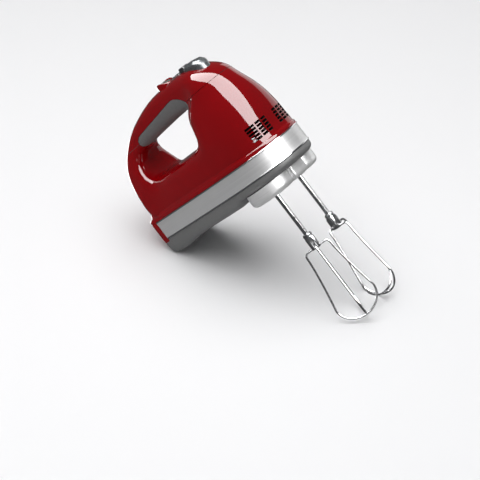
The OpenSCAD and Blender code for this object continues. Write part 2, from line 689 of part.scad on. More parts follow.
/* Beaters */
phase = [45, 0];                   // turn of the right and left beaters, 45 degrees apart
shaft_top = top_plate_z - 1.2;
module beater_shaft(s) { upright(beater_x, s * side_y, neck_z + 5, shaft_top, shaft_d / 2); }
module beater_shaft_right() { color(steel) pose() beater_shaft(-1); }
module beater_shaft_left() { color(steel) pose() beater_shaft(1); }
module beater_ferrule(s, turn) {
  translate([beater_x, s * side_y, neck_z]) rotate(turn) difference() {
    union() {
      cylinder(h = ferrule_h, r = 5);
      translate([0, 0, 0.6]) linear_extrude(height = ferrule_h - 4) hull()
        for (x = [-1, 1], y = [-1, 1]) translate([x * 3.6, y * 3.6]) circle(1.6, $fn = 32);
    }
    translate([0, 0, 5]) cylinder(h = ferrule_h, r = shaft_d / 2 + 0.02);
    for (a = [0, 90]) rotate(a) translate([-9, -wire_d / 2 - 0.15, -1]) cube([18, wire_d + 0.3, wire_d + 3.65]);
  }
}
module beater_ferrule_right() { color(steel) pose() beater_ferrule(-1, phase[0]); }
module beater_ferrule_left() { color(steel) pose() beater_ferrule(1, phase[1]); }
/* One wire loop, drawn as half of its centre line and mirrored; lift raises its round end */
function loop_half(lift) = let (z0 = neck_z + wire_d / 2 + 0.3 + lift, zc = loop_mid)
  concat(
    [[0.01, z0], [10, z0]],
    [for (a = [60:-30:0]) [10 + 3.6 * cos(a), z0 - 3.6 + 3.6 * sin(a)]],
    [for (t = [1, 2, 3]) let (u = t / 4) [13.6 + (loop_r - 13.6) * pow(u, 1.35), (z0 - 3.6) * (1 - u) + zc * u]],
    [for (a = [0:10:90]) [loop_r * cos(a), zc - (loop_drop - lift) * sin(a)]]);
module beater_loop(s, turn, lift) {
  h = loop_half(lift);
  n = len(h);
  path = concat([for (p = h) [p.x, 0, p.y]], [for (i = [n - 2:-1:1]) [-h[i].x, 0, h[i].y]]);
  translate([beater_x, s * side_y, 0]) rotate(turn) wire_ring(path, wire_d / 2, 8);
}
/* Closed wire along a ring of points in the x-z plane */
module wire_ring(path, r, m) {
  n = len(path);
  pts = [for (i = [0:n - 1]) let (t = unit(path[(i + 1) % n] - path[(i + n - 1) % n]), u = [0, 1, 0], v = cross(t, u))
    each [for (j = [0:m - 1]) path[i] + r * (cos(360 * j / m) * u + sin(360 * j / m) * v)]];
  polyhedron(points = pts, faces = [for (i = [0:n - 1], j = [0:m - 1]) let (p = (i + 1) % n, k = (j + 1) % m)
    each [[i * m + j, p * m + j, p * m + k], [i * m + j, p * m + k, i * m + k]]]);
}
module beater_loop_a_right() { color(steel) pose() beater_loop(-1, phase[0], 0); }
module beater_loop_b_right() { color(steel) pose() beater_loop(-1, phase[0] + 90, wire_d + 0.3); }
module beater_loop_a_left() { color(steel) pose() beater_loop(1, phase[1], 0); }
module beater_loop_b_left() { color(steel) pose() beater_loop(1, phase[1] + 90, wire_d + 0.3); }

// Ejector: a button on a rod, with a crossbar whose two pins push the beater shafts down
yoke_z = top_plate_z + 5.9 + eject_travel;
guide_z = 78 * kz;                 // top of the guide that the spring stands on
rod_r = 3.6;
module ejector_button() {
  color(grey) pose() intersection() {
    side(eject_side, eject_w);
    eject_plan(0, 110 * kz, 170 * kz);
  }
}
module ejector_yoke() {
  color(cream) pose() {
    upright(rod_x, 0, yoke_z, 116 * kz - 0.1, rod_r);
    block(rod_x - 4, rod_x + 4, 2 * side_y + 8, yoke_z, yoke_z + 4, 3);
    for (s = [-1, 1]) upright(rod_x, s * side_y, shaft_top + 0.3, yoke_z + 1, shaft_d / 2 - 0.2);
  }
}
module ejector_guide() {
  color(grey) pose() difference() {
    union() {
      block(rod_x - 16, rod_x + 16, 20, guide_z - 4, guide_z, 2);
      for (s = [-1, 1]) translate([rod_x + s * 13 - 3, -6, top_plate_z + 4.45]) cube([6, 12, guide_z - top_plate_z - 5]);
    }
    upright(rod_x, 0, guide_z - 10, guide_z + 10, rod_r + 0.3);
  }
}
module ejector_spring() {
  color(steel) pose() translate([rod_x, 0, guide_z + 0.05]) coil(6.6, 116 * kz - guide_z - 0.15, 7, 1, 12);
}

motor_housing();
handle_cover();
trim_band();
base_cover();
socket_plate();
handle_grip();
display_bezel();
display_lens();
display_module();
control_strip();
control_board();
board_components();
power_switch();
cord_gland();
cord_clamp();
vent_baffle();
stator_core();
field_coils();
motor_bracket_rear();
motor_bracket_front();
motor_bearings();
brush_holders();
carbon_brushes();
brush_springs();
gearbox_frame();
gearbox_top();
gearbox_screws();
spindle_bushes();
socket_seals();
housing_screws();
motor_shaft();
armature_core();
armature_windings();
commutator();
worm();
cooling_fan();
worm_wheel_right();
worm_wheel_left();
spindle_right();
spindle_left();
retaining_ring_right();
retaining_ring_left();
beater_shaft_right();
beater_shaft_left();
beater_ferrule_right();
beater_ferrule_left();
beater_loop_a_right();
beater_loop_b_right();
beater_loop_a_left();
beater_loop_b_left();
ejector_button();
ejector_yoke();
ejector_guide();
ejector_spring();
power_button();
power_spring();
speed_up_button();
speed_down_button();
speed_up_spring();
speed_down_spring();
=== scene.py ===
import bpy
import bmesh
import json
import math
from mathutils import Matrix, Vector


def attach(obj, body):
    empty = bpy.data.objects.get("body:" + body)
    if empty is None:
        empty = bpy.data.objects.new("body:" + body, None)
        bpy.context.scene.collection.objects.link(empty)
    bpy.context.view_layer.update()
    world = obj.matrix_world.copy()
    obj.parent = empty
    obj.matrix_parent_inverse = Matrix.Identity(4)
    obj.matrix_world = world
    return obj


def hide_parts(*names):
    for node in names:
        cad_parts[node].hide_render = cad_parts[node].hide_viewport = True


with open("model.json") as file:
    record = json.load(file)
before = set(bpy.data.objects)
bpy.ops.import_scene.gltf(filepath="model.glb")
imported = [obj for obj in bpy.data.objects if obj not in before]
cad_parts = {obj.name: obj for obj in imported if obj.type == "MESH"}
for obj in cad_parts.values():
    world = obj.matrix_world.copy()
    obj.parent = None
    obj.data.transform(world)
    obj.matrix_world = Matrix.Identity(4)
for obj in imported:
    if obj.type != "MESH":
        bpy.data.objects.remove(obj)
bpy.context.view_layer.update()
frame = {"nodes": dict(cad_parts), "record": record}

# ---- Studio ----
# A pale sweep that the mixer stands on. A long strip bank overhead and a few cards at its sides
# make the reflections; a broad soft light that mirrors don't see makes the shading.
scene = bpy.context.scene
scene.view_settings.view_transform = "Standard"
world = bpy.data.worlds.new("studio_air")
scene.world = world
world.use_nodes = True
world.node_tree.nodes["Background"].inputs["Color"].default_value = (0.97, 0.98, 1, 1)
world.node_tree.nodes["Background"].inputs["Strength"].default_value = 0.1


def softbox(name, at, look, wide, high, radiance, shades=True, mirrors=True):
    light = bpy.data.lights.new(name, "AREA")
    light.shape = "RECTANGLE"
    light.size, light.size_y, light.energy = wide, high, radiance * math.pi * wide * high
    lamp = bpy.data.objects.new(name, light)
    lamp.location = at
    lamp.rotation_mode = "QUATERNION"
    lamp.rotation_quaternion = (Vector(look) - Vector(at)).to_track_quat("-Z", "Y")
    lamp.visible_diffuse, lamp.visible_glossy = shades, mirrors
    scene.collection.objects.link(lamp)
    return lamp


softbox("broad_softbox", (-0.1, -0.15, 1.7), (0, 0, 0), 2.2, 2.2, 2.6, mirrors=False)
softbox("front_fill", (0.1, -2, 0.9), (0, 0, 0), 1.6, 1.2, 0.3, mirrors=False)
softbox("strip_bank", (-0.5, 0, 1.5), (-0.5, 0, 0), 4.4, 1.25, 13, shades=False)
softbox("far_card", (0, 2.2, 0.25), (0, 0, 0.1), 2.6, 1.3, 1.1, shades=False)
softbox("near_card", (1.5, -1.25, 0.55), (0, 0, 0.1), 0.55, 0.5, 2.2, shades=False)
softbox("heel_card", (-1.35, 0.5, -0.75), (0, 0, 0.1), 0.55, 0.5, 8, shades=False)

bm = bmesh.new()
bmesh.ops.create_grid(bm, x_segments=1, y_segments=1, size=4)
mesh = bpy.data.meshes.new("floor")
bm.to_mesh(mesh)
bm.free()
floor = bpy.data.objects.new("floor", mesh)
scene.collection.objects.link(floor)
floor.visible_glossy = False
paper = bpy.data.materials.new("pale_paper")
paper.use_nodes = True
paper.node_tree.nodes["Principled BSDF"].inputs["Base Color"].default_value = (0.86, 0.86, 0.87, 1)
paper.node_tree.nodes["Principled BSDF"].inputs["Roughness"].default_value = 0.9
mesh.materials.append(paper)

# The mixer's pieces are drawn upright in millimetres, with x from the heel to the nose, y to its
# left and z up from the underside; stand turns them nose-up on the heel and the beater tips.
TILT = math.radians(44.9186)
stand = (Matrix.Translation((-0.0877721, 0, -0.00336834)) @ Matrix.Rotation(-TILT, 4, "Y")
         @ Matrix.Scale(0.001, 4))

lens = bpy.data.cameras.new("studio_camera")
lens.sensor_width, lens.lens = 36, 112.4
lens.dof.use_dof = False
camera = bpy.data.objects.new("studio_camera", lens)
AZ, EL, ROLL = math.radians(48.57), math.radians(4.93), math.radians(-37.48)
back = Vector((math.sin(AZ) * math.cos(EL), -math.cos(AZ) * math.cos(EL), math.sin(EL)))
side = Vector((math.cos(AZ), math.sin(AZ), 0))
up = back.cross(side)
right_hand = math.cos(ROLL) * side + math.sin(ROLL) * up
overhead = -math.sin(ROLL) * side + math.cos(ROLL) * up
turn = Matrix((right_hand, overhead, back)).transposed()
camera.matrix_world = (Matrix.Translation((-0.0877721, 0, -0.00336834)) @ Matrix.Rotation(-TILT, 4, "Y")
                       @ Matrix.Translation((1.1949, -0.9965, 0.0998)) @ turn.to_4x4())
lens.clip_start, lens.clip_end = 0.05, 20
scene.collection.objects.link(camera)
scene.camera = camera

# ---- Red housing ----
# The body and the closed handle are one moulded shell in high-gloss red with a clear coat, split
# along a seam that runs from the nose to the heel. The lower half takes the motor; the upper half
# is a cover. Vent slots pierce the nose, and a rounded lip overhangs the metal band.
SECTIONS = [
    (136.3, 84, 205.8, 70, 39.2, 0.33, 2.6, 2.45), (135.5, 94, 203, 88, 36.3, 0.32, 2.6, 2.3, 0.12),
    (134, 100.5, 197, 105, 31.8, 0.38, 2.8, 2.15, 0.26), (131, 104.5, 187, 121, 26.5, 0.62, 3, 2.2, 0.34),
    (124, 105.8, 169, 133, 20.5, 0.7, 3.4, 2.4, 0.1), (114, 105.3, 146, 137, 18.2, 0.52, 2.6, 2.7),
    (99, 104.6, 120, 137, 16.8, 0.5, 2.6, 2.8), (83, 103.5, 92, 135.3, 16.6, 0.5, 2.6, 2.7),
    (66, 102.4, 65, 129.4, 16.8, 0.5, 2.6, 2.6), (51, 101, 41.5, 120.8, 17.4, 0.5, 2.6, 2.6),
    (41, 98, 24, 108.8, 19.4, 0.5, 3, 2.6), (36.5, 91, 12.5, 95, 23.4, 0.5, 3.6, 2.6),
    (36.5, 83, 7, 79, 27, 0.5, 4.4, 2.7), (38.5, 76, 4.7, 60, 29, 0.5, 5, 2.9),
    (43, 71, 4.5, 38, 29.6, 0.5, 5, 3.2), (53, 69, 20, 2, 31.5, 0.5, 5, 4),
    (70, 69, 55, 0, 34.6, 0.5, 5, 4), (88, 69, 88, 0, 37.2, 0.5, 5, 4),
    (106, 69.2, 125, 0, 39.3, 0.5, 5, 4), (121, 70.5, 165, 2, 40.7, 0.5, 4.4, 4),
    (131, 73.5, 204.5, 22, 41, 0.36, 3.6, 2.6), (135, 78.5, 206, 48, 41, 0.34, 2.8, 2.6)]
HEEL_X, WIDE_X, FRONT_X, HEEL_HALF, HALF_WIDE = 16, 156, 210, 32.5, 45
BAND_LOW, BAND_HIGH = 14, 34.5


def between(rows, t):
    k, t = int(t // 1), t % 1
    a, b, c, d = (rows[(k + i) % len(rows)] for i in (-1, 0, 1, 2))
    return [0.5 * (2 * q + (r - p) * t + (2 * p - 5 * q + 4 * r - s) * t * t + (3 * q - p - 3 * r + s) * t ** 3)
            for p, q, r, s in zip(a, b, c, d)]


def evenly(points, count):
    """count points spread evenly by length along an open line of points"""
    runs = [0]
    for a, b in zip(points, points[1:]):
        runs.append(runs[-1] + (b - a).length)
    out, k = [], 0
    for i in range(count):
        want = runs[-1] * i / (count - 1)
        while k < len(runs) - 2 and runs[k + 1] < want:
            k += 1
        out.append(points[k].lerp(points[k + 1], (want - runs[k]) / max(1e-9, runs[k + 1] - runs[k])))
    return out


def shell_ring(t, inset=0, half=72):
    s = between([r + (0,) * (9 - len(r)) for r in SECTIONS], t)
    inner, outer = Vector((s[0], 0, s[1])), Vector((s[2], 0, s[3]))
    length = (outer - inner).length
    along, middle = (outer - inner).normalized(), s[5] * length
    line = []
    for j in range(241):
        a = math.pi * j / 240
        c = math.cos(a)
        e = 2 / s[6] if c > 0 else 2 / s[7]
        u = middle - (middle - inset) * c ** e if c > 0 else middle + (length - middle - inset) * (-c) ** e
        pinch = 1 - s[8] * max(0, middle - u) / middle
        line.append(inner + along * u + Vector((0, pinch * (s[4] - inset) * max(0, math.sin(a)) ** e, 0)))
    line = evenly(line, half + 1)
    return line + [Vector((p.x, -p.y, p.z)) for p in line[-2:0:-1]]


def loft(bm, rings, closed=False):
    """Joins closed rings of points with bands of faces, in order"""
    loops = []
    for ring in rings:
        verts = [bm.verts.new(p) for p in ring]
        loops.append([bm.edges.new((verts[i], verts[(i + 1) % len(verts)])) for i in range(len(verts))])
    for a, b in zip(loops, loops[1:] + ([loops[0]] if closed else [])):
        bmesh.ops.bridge_loops(bm, edges=a + b)
    return loops


def cap(bm, loop):
    bmesh.ops.holes_fill(bm, edges=loop, sides=0)


def slice_off(bm, at, normal):
    """Cuts away what lies on the normal's side of a plane and closes the cut"""
    made = bmesh.ops.bisect_plane(bm, geom=bm.verts[:] + bm.edges[:] + bm.faces[:], plane_co=at,
                                  plane_no=normal, clear_outer=True)
    edges = [g for g in made["geom_cut"] if isinstance(g, bmesh.types.BMEdge)]
    bmesh.ops.holes_fill(bm, edges=edges, sides=0)


def carve(bm, tools, how="DIFFERENCE", mark=1):
    """Cuts the tool bmeshes from bm (or keeps what they share); faces that the tools make get slot mark"""
    # Slot 1 of the pieces below is near-black, so the walls that a cut leaves carry painted shade
    body = bpy.data.meshes.new("carve")
    bmesh.ops.recalc_face_normals(bm, faces=bm.faces)
    bm.to_mesh(body)
    for i in range(2):
        body.materials.append(None)
    target = bpy.data.objects.new("carve", body)
    scene.collection.objects.link(target)
    used = []
    for tool in tools:
        for f in tool.faces:
            f.material_index = mark
        bmesh.ops.recalc_face_normals(tool, faces=tool.faces)
        m = bpy.data.meshes.new("carve_tool")
        tool.to_mesh(m)
        tool.free()
        for i in range(2):
            m.materials.append(None)
        o = bpy.data.objects.new("carve_tool", m)
        scene.collection.objects.link(o)
        used.append(o)
        step = target.modifiers.new("carve", "BOOLEAN")
        step.operation, step.object, step.solver = how, o, "EXACT"
    done = bpy.data.meshes.new_from_object(target.evaluated_get(bpy.context.evaluated_depsgraph_get()))
    bm.clear()
    bm.from_mesh(done)
    for o in used + [target]:
        bpy.data.objects.remove(o)
    return bm


def place(bm, name, body, materials, stands_for, sharp=38):
    """Turns a finished bmesh nose-up and hands it to its body"""
    bmesh.ops.recalc_face_normals(bm, faces=bm.faces)
    bm.transform(stand)
    mesh = bpy.data.meshes.new(name)
    bm.to_mesh(mesh)
    bm.free()
    for m in materials:
        mesh.materials.append(m)
    mesh.shade_smooth()
    mesh.set_sharp_from_angle(angle=math.radians(sharp))
    obj = bpy.data.objects.new(name, mesh)
    scene.collection.objects.link(obj)
    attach(obj, body)
    if stands_for:
        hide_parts(*stands_for)
    return obj


def finish(name, colour, metallic, roughness, grain=(400, 400, 400), depth=0.02, spread=0.08, coat=0, coat_rough=0.03,
           rough_spread=0.06, detail=3, specular=0.5):
    """A finish with a fine grain: its colour, gloss and surface vary with a noise stretched along the mixer's axes"""
    material = bpy.data.materials.new(name)
    material.use_nodes = True
    nodes, links = material.node_tree.nodes, material.node_tree.links
    shader = nodes["Principled BSDF"]
    shader.inputs["Metallic"].default_value = metallic
    shader.inputs["Coat Weight"].default_value = coat
    shader.inputs["Specular IOR Level"].default_value = specular
    shader.inputs["Coat Roughness"].default_value = coat_rough
    place_by = nodes.new("ShaderNodeTexCoord")
    upright = nodes.new("ShaderNodeMapping")
    upright.vector_type = "TEXTURE"
    upright.inputs["Rotation"].default_value = (0, -TILT, 0)
    links.new(place_by.outputs["Object"], upright.inputs["Vector"])
    stretch = nodes.new("ShaderNodeMapping")
    stretch.inputs["Scale"].default_value = grain
    links.new(upright.outputs["Vector"], stretch.inputs["Vector"])
    noise = nodes.new("ShaderNodeTexNoise")
    noise.inputs["Scale"].default_value = 1
    noise.inputs["Detail"].default_value = detail
    links.new(stretch.outputs["Vector"], noise.inputs["Vector"])
    tint = nodes.new("ShaderNodeValToRGB")
    tint.color_ramp.elements[0].position, tint.color_ramp.elements[1].position = 0.3, 0.7
    tint.color_ramp.elements[0].color = [c * (1 - spread) for c in colour] + [1]
    tint.color_ramp.elements[1].color = [min(1, c * (1 + spread)) for c in colour] + [1]
    links.new(noise.outputs["Fac"], tint.inputs["Fac"])
    links.new(tint.outputs["Color"], shader.inputs["Base Color"])
    gloss = nodes.new("ShaderNodeMapRange")
    gloss.inputs["From Min"].default_value, gloss.inputs["From Max"].default_value = 0.3, 0.7
    gloss.inputs["To Min"].default_value = max(0.01, roughness - rough_spread)
    gloss.inputs["To Max"].default_value = roughness + rough_spread
    links.new(noise.outputs["Fac"], gloss.inputs["Value"])
    links.new(gloss.outputs["Result"], shader.inputs["Roughness"])
    bump = nodes.new("ShaderNodeBump")
    bump.inputs["Strength"].default_value = depth
    bump.inputs["Distance"].default_value = 0.0004
    links.new(noise.outputs["Fac"], bump.inputs["Height"])
    links.new(bump.outputs["Normal"], shader.inputs["Normal"])
    return material


gloss_red = finish("gloss_red", (0.25, 0.001, 0.003), 0, 0.4, (60, 60, 60), 0, 0.03, coat=1, coat_rough=0.03, specular=0)
# Near-black: the own colour of the black plastic parts inside, and also painted shade on every wall that a cut leaves
# (vent slots, wells and bores in the red, charcoal and silver pieces)
black_plastic_and_hole_shade = finish("black_plastic_and_hole_shade", (0.006, 0.005, 0.005), 0, 0.7, (500, 500, 500), 0.3, 0.3)
seam_red = finish("seam_red", (0.05, 0.002, 0.003), 0, 0.6, (300, 300, 300), 0.1, 0.2)


def shell():
    bm = bmesh.new()
    steps = 7
    loft(bm, [shell_ring(i / steps) for i in range(len(SECTIONS) * steps)], closed=True)
    return bm


def slab(points, half_width=60, round_corners=0):
    """A side-view shape pushed through the body's width"""
    bm = bmesh.new()
    face = bm.faces.new([bm.verts.new((x, -half_width, z)) for x, z in points])
    if round_corners:
        bmesh.ops.bevel(bm, geom=bm.verts[:], offset=round_corners, offset_type="OFFSET", segments=5, profile=0.5,
                        affect="VERTICES", material=-1)
        face = bm.faces[:][0]
    grown = bmesh.ops.extrude_face_region(bm, geom=[face])
    bmesh.ops.translate(bm, verts=[g for g in grown["geom"] if isinstance(g, bmesh.types.BMVert)],
                        vec=(0, 2 * half_width, 0))
    return bm


def grip_shape(grow):
    line = [(51, 94), (51, 106), (53.5, 110.6), (58, 113.3), (63, 114.4), (92, 118.2), (122, 122), (128, 122.4),
            (133, 121.6), (138, 119.6), (143, 116.4), (147.5, 112.2), (147.6, 108), (145.5, 103), (137, 98), (80, 92)]
    mid = Vector((95, 100))
    out = []
    for i, p in enumerate(line):
        a, b = Vector(line[i - 1]), Vector(line[(i + 1) % len(line)])
        n = Vector((-(b - a).y, (b - a).x)).normalized()
        out.append(tuple(Vector(p) + n * (grow if (b - a).length < 500 else 0)))
    return out


def seam_plane(lift):
    return Vector((0, 0, 105 + lift)), Vector((-0.0476, 0, 1)).normalized()


# Plan of the ejector button's well, square at the back and round at the front
def eject_plan(grow, count=14):
    corners = [((172, 0), 9 + grow, -90, 90), ((160, 5), 3 + grow, 90, 180), ((160, -5), 3 + grow, 180, 270)]
    return [(c[0] + r * math.cos(math.radians(a0 + (a1 - a0) * i / count)),
             c[1] + r * math.sin(math.radians(a0 + (a1 - a0) * i / count)))
            for c, r, a0, a1 in corners for i in range(count + 1)]


def rounded(x, half_x, half_y, r, count=6):
    out = []
    for k, (sx, sy) in enumerate([(1, -1), (1, 1), (-1, 1), (-1, -1)]):
        for i in range(count + 1):
            a = math.radians(-90 + 90 * k + 90 * i / count)
            out.append((x + sx * (half_x - r) + r * math.cos(a), sy * (half_y - r) + r * math.sin(a)))
    return out


def oval(d, count=64):
    return [(118.5 + (10.5 - d) * math.cos(2 * math.pi * i / count),
             (9 - d) * math.sin(2 * math.pi * i / count)) for i in range(count)]


def column(plan, z0, z1):
    bm = bmesh.new()
    loops = loft(bm, [[Vector((x, y, z)) for x, y in plan] for z in (z0, z1)])
    cap(bm, loops[0])
    cap(bm, loops[1])
    return bm


def vents():
    bm = bmesh.new()
    for s in (-1, 1):
        for y0, y1 in ((5.9, 11.9), (13.2, 19.4), (20.8, 29.5)):
            for i in range(5):
                z = 43.2 + 3.25 * i
                reach = 44 if y0 > 20 else 40
                bmesh.ops.create_cube(bm, size=1, matrix=Matrix.Translation(
                    (212 - reach / 2 - (14 if y0 > 20 else 8), s * (y0 + y1) / 2, z + 1.2))
                    @ Matrix.Diagonal((reach, y1 - y0, 2.4, 1)))
    for v in bm.verts:
        if v.co.x > 190:
            v.co.x = 216
        else:
            v.co.x = 194 if abs(v.co.y) < 20 else 187
    return bm


whole = shell()
cover = whole.copy()
slice_off(whole, *seam_plane(-0.2))
slice_off(whole, Vector((0, 0, 20)), Vector((0, 0, -1)))
at, normal = seam_plane(0.2)
slice_off(cover, at, -normal)
# The walls of the grip seat, the vent slots and the button wells take slot 1: painted shade in near-black
carve(whole, [slab(grip_shape(0.25)), vents(), column(eject_plan(0.4), 106.5, 170)])
place(whole, "housing_shell", "housing", [gloss_red, black_plastic_and_hole_shade], ["motor_housing"])
carve(cover, [slab(grip_shape(0.25)), column(eject_plan(0.4), 100, 170), column(rounded(152.2, 4.5, 5.4, 2.6), 112, 170),
              column(rounded(140.15, 6.8, 5.65, 2), 134.4, 170), column(oval(0), 128, 170)])
place(cover, "handle_shell", "housing", [gloss_red, black_plastic_and_hole_shade], ["handle_cover"])


def outline(inset, fine=1):
    """The body's outline from above: a round heel, straight flanks and a full round nose"""
    half = []
    for i in range(13 * fine):
        a = math.pi / 2 * i / (13 * fine)
        half.append(Vector((HEEL_X - (HEEL_X - inset) * math.cos(a) ** 0.588, (HEEL_HALF - inset) * math.sin(a) ** 0.588)))
    for i in range(30 * fine):
        x = HEEL_X + (WIDE_X - HEEL_X) * i / (30 * fine)
        w = HEEL_HALF + (HALF_WIDE - HEEL_HALF) * math.sin(math.pi / 2 * (x - HEEL_X) / (WIDE_X - HEEL_X))
        half.append(Vector((x, w - inset)))
    for i in range(31 * fine):
        a = math.pi / 2 * i / (31 * fine)
        half.append(Vector((WIDE_X + (FRONT_X - WIDE_X - inset) * math.sin(a) ** 0.877,
                            (HALF_WIDE - inset) * math.cos(a) ** 0.877)))
    half.append(Vector((FRONT_X - inset, 0)))
    return half + [Vector((p.x, -p.y)) for p in half[-2:0:-1]]


def level(z, inset, fine=1):
    return [Vector((p.x, p.y, z)) for p in outline(inset, fine)]


# The lip that joins the shell to the band, and the red strip that wraps round the heel below it
bm = bmesh.new()
loft(bm, [level(z, d) for z, d in [
    (34.62, 6), (34.62, 0.9), (34.64, 0.4), (34.9, 0.12), (35.5, 0.02), (36.6, 0.1), (37.5, 0.4), (38.2, 0.95),
    (38.8, 1.75), (39.3, 2.7), (39.9, 3.5), (40.7, 4.1), (41.7, 4.45), (43, 5), (43.4, 9)]])
place(bm, "housing_lip", "housing", [gloss_red], [])
bm = bmesh.new()
loops = loft(bm, [level(z, d) for z, d in [(11, 2.5), (11, 0.9), (11.2, 0.35), (11.7, 0.05), (12.6, 0), (34.3, 0), (34.5, 0.3)]])
cap(bm, loops[0])
cap(bm, loops[-1])
slice_off(bm, Vector((HEEL_X - 0.15, 0, 0)), Vector((1, 0, 0)))
bore = bmesh.new()
bmesh.ops.create_cone(bore, cap_ends=True, segments=48, radius1=6.2, radius2=6.2, depth=40,
                      matrix=Matrix.Translation((0, 0, 24)) @ Matrix.Rotation(math.pi / 2, 4, "Y"))
# The bore's wall takes slot 1: painted shade in near-black
carve(bm, [bore])
place(bm, "heel_strip", "housing", [gloss_red, black_plastic_and_hole_shade], [])

# ---- Soft grip ----
# A charcoal soft-touch pad moulded over the underside and flanks of the handle. It stands a hair
# inside the red and stops in a rounded tongue at the front.
soft_charcoal = finish("soft_charcoal", (0.15, 0.15, 0.15), 0, 0.55, (700, 700, 700), 0.25, 0.12, rough_spread=0.05)
bm = shell()
carve(bm, [slab(grip_shape(-0.15))], "INTERSECT", mark=0)
place(bm, "soft_grip", "housing", [soft_charcoal], ["handle_grip"])

# ---- Metal trim band ----
# A strip of brushed stainless steel, bent round the flanks and the nose, with a polished bead
# rolled along each edge. Its ends stop at the red heel strip.
brushed = finish("brushed_band", (0.74, 0.74, 0.74), 0.5, 0.5, (3, 3, 2600), 0.03, 0.08, rough_spread=0.05)
upward = brushed.node_tree.nodes.new("ShaderNodeCombineXYZ")
for axis, part in zip("XYZ", (-math.sin(TILT), 0, math.cos(TILT))):
    upward.inputs[axis].default_value = part
brushed.node_tree.nodes["Principled BSDF"].inputs["Anisotropic"].default_value = 0.85
brushed.node_tree.links.new(upward.outputs["Vector"], brushed.node_tree.nodes["Principled BSDF"].inputs["Tangent"])
bead = finish("polished_bead", (0.86, 0.86, 0.87), 1, 0.12, (3, 3, 900), 0.02, 0.04, rough_spread=0.03)
bm = bmesh.new()
edge = [(0.45, 0.5), (0.12, 0.1), (0.2, -0.25), (0.45, -0.45), (0.8, -0.5), (1.15, -0.45), (1.4, -0.25), (1.5, 0)]
profile = ([(BAND_LOW + 0.12 + dz, d) for dz, d in edge[1:]] + [(BAND_LOW + 2.2, 0.03), (BAND_HIGH - 2.2, 0.03)]
           + [(BAND_HIGH - 0.12 - dz, d) for dz, d in reversed(edge[1:])]
           + [(BAND_HIGH - 0.15, 1.3), (BAND_LOW + 0.15, 1.3)])
loft(bm, [level(z, d) for z, d in profile], closed=True)
slice_off(bm, Vector((HEEL_X + 0.1, 0, 0)), Vector((-1, 0, 0)))
for f in bm.faces:
    z = f.calc_center_median().z
    f.material_index = 1 if z < BAND_LOW + 1.7 or z > BAND_HIGH - 1.7 else 0
place(bm, "trim_band_skin", "housing", [brushed, bead], ["trim_band"])

# ---- Charcoal base ----
# The floor of the body, moulded in textured charcoal plastic and screwed up from below. It swells
# at the heel, where a small flat lets the mixer stand, and steps up for the socket plate.
base_charcoal = finish("base_charcoal", (0.17, 0.17, 0.17), 0, 0.45, (1100, 1100, 1100), 0.3, 0.14, rough_spread=0.06)


def underside(x):
    spots = [(-20, -1), (-5, -1), (3, -4.2), (26, -4.2), (62, 0), (144, 0), (146, 5.5), (240, 5.5)]
    for (a, p), (b, q) in zip(spots, spots[1:]):
        if a <= x <= b:
            t = (x - a) / (b - a)
            return p + (q - p) * t * t * (3 - 2 * t)


bm = bmesh.new()
rings = []
for depth, inset in [(0, 2), (0, 0.4), (0.25, 0.4), (0.45, 0.55), (0.6, 1.0), (0.74, 1.8), (0.86, 3.0), (0.95, 4.6), (1, 6.6),
                     (1, 12), (1, 20)]:
    ring = []
    for p in outline(inset):
        low = underside(p.x)
        ring.append(Vector((p.x, p.y, 13.85 + (low - 13.85) * depth)))
    rings.append(ring)
loops = loft(bm, rings)
cap(bm, loops[0])
cap(bm, loops[-1])
bm.transform(stand)
slice_off(bm, Vector((0, 0, 0.00001)), Vector((0, 0, -1)))
bm.transform(stand.inverted())
screw_wells = []
for x, y in [(26, 24), (112, 32), (198.5, 20)]:
    for s in (-1, 1):
        well = bmesh.new()
        bmesh.ops.create_cone(well, cap_ends=True, segments=32, radius1=3.4, radius2=3.4, depth=20,
                              matrix=Matrix.Translation((x, s * y, (9.5 if x > 169 else 4) - 10)))
        screw_wells.append(well)
# The screw wells' walls take slot 1: painted shade in near-black
carve(bm, screw_wells)
place(bm, "base_shell", "housing", [base_charcoal, black_plastic_and_hole_shade], ["base_cover"])

# ---- Socket plate ----
# A silver moulding under the nose: a round lobe about each beater socket and a block between
# them at the front. Its lower edge is rounded, and each socket is a plain bore.
satin_silver = finish("satin_silver", (0.78, 0.78, 0.78), 0.4, 0.36, (60, 60, 1500), 0.05, 0.07, coat=0.3, coat_rough=0.2)
BEATER_X, BEATER_Y, LOBE = 169, 19.75, 24.5


def plate_plan(d):
    """Half the plate's outline, from the rear cusp round the right lobe to the middle of the block, and its mirror"""
    r = LOBE - d
    cusp = math.degrees(math.acos(min(1, BEATER_Y / r))) + 90
    meet = math.degrees(math.asin((BEATER_Y - 11 + d) / r))
    half = []
    for i in range(45):
        a = math.radians(cusp + (360 + meet - cusp) * i / 44)
        half.append(Vector((BEATER_X + r * math.cos(a), -BEATER_Y + r * math.sin(a))))
    front = 196 - d
    for i in range(7):
        a = math.radians(-90 + 90 * i / 6)
        half.append(Vector((front - 3 + 3 * math.cos(a), -8 + d + 3 * math.sin(a))))
    half.append(Vector((front, 0)))
    return half + [Vector((p.x, -p.y)) for p in half[-2:0:-1]]


bm = bmesh.new()
loops = loft(bm, [[Vector((p.x, p.y, z)) for p in plate_plan(d)] for z, d in [
    (5.4, 1), (5.4, 0), (-3.4, 0), (-4.7, 0.15), (-5.8, 0.55), (-6.8, 1.2), (-7.6, 2.1), (-8.15, 3), (-8.42, 3.9), (-8.5, 4.7)]])
cap(bm, loops[0])
cap(bm, loops[-1])
bores = []
for s in (-1, 1):
    b = bmesh.new()
    bmesh.ops.create_cone(b, cap_ends=True, segments=64, radius1=7.4, radius2=7.4, depth=12,
                          matrix=Matrix.Translation((BEATER_X, s * BEATER_Y, -9.5)))
    bores.append(b)
